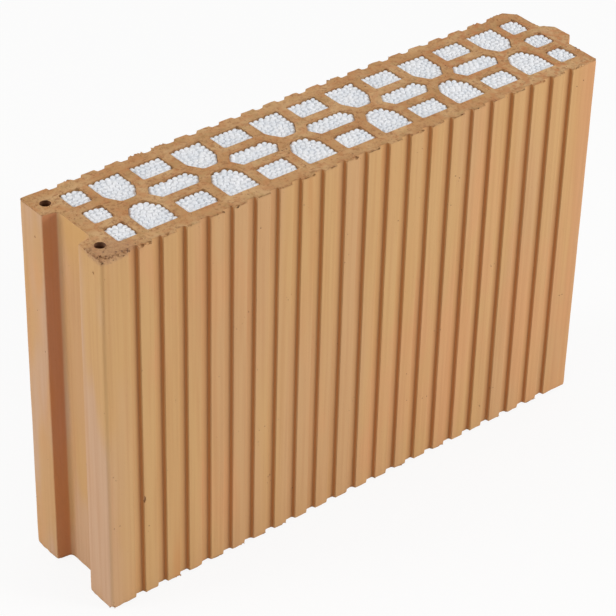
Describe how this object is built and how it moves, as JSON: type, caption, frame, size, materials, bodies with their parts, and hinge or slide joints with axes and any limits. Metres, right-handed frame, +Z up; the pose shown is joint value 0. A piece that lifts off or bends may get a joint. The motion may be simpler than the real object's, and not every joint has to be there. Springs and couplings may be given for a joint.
{
  "type": "insulated ring beam block",
  "caption": "Upright hollow fired-clay block with vertical cells filled with polystyrene beads, keyed broad faces, a recess in one end and a tongue on the other.",
  "frame": {"origin": "middle of the bed face's bounding rectangle, tongue included", "axes": "+X along the block, from the recessed end to the tongued end; +Y across the block; +Z up, along the cells"},
  "size_m": [0.38, 0.08, 0.249],
  "materials": {
    "fired_clay": "matt, wire-cut, fine-grained",
    "bead_fill": "matt fused beads"
  },
  "bodies": {
    "root": {"clay_block": "fired_clay", "fill_head_near": "bead_fill", "fill_arch_near_1": "bead_fill", "fill_arch_near_2": "bead_fill", "fill_arch_near_3": "bead_fill", "fill_arch_near_4": "bead_fill", "fill_arch_near_5": "bead_fill", "fill_arch_near_6": "bead_fill", "fill_rectangle_near_1": "bead_fill", "fill_rectangle_near_2": "bead_fill", "fill_rectangle_near_3": "bead_fill", "fill_rectangle_near_4": "bead_fill", "fill_rectangle_near_5": "bead_fill", "fill_tail_near": "bead_fill", "fill_head_far": "bead_fill", "fill_arch_far_1": "bead_fill", "fill_arch_far_2": "bead_fill", "fill_arch_far_3": "bead_fill", "fill_arch_far_4": "bead_fill", "fill_arch_far_5": "bead_fill", "fill_arch_far_6": "bead_fill", "fill_rectangle_far_1": "bead_fill", "fill_rectangle_far_2": "bead_fill", "fill_rectangle_far_3": "bead_fill", "fill_rectangle_far_4": "bead_fill", "fill_rectangle_far_5": "bead_fill", "fill_tail_far": "bead_fill", "fill_head_middle": "bead_fill", "fill_hexagon_1": "bead_fill", "fill_hexagon_2": "bead_fill", "fill_hexagon_3": "bead_fill", "fill_hexagon_4": "bead_fill", "fill_hexagon_5": "bead_fill", "fill_tail_middle": "bead_fill"}
  },
  "joints": []
}
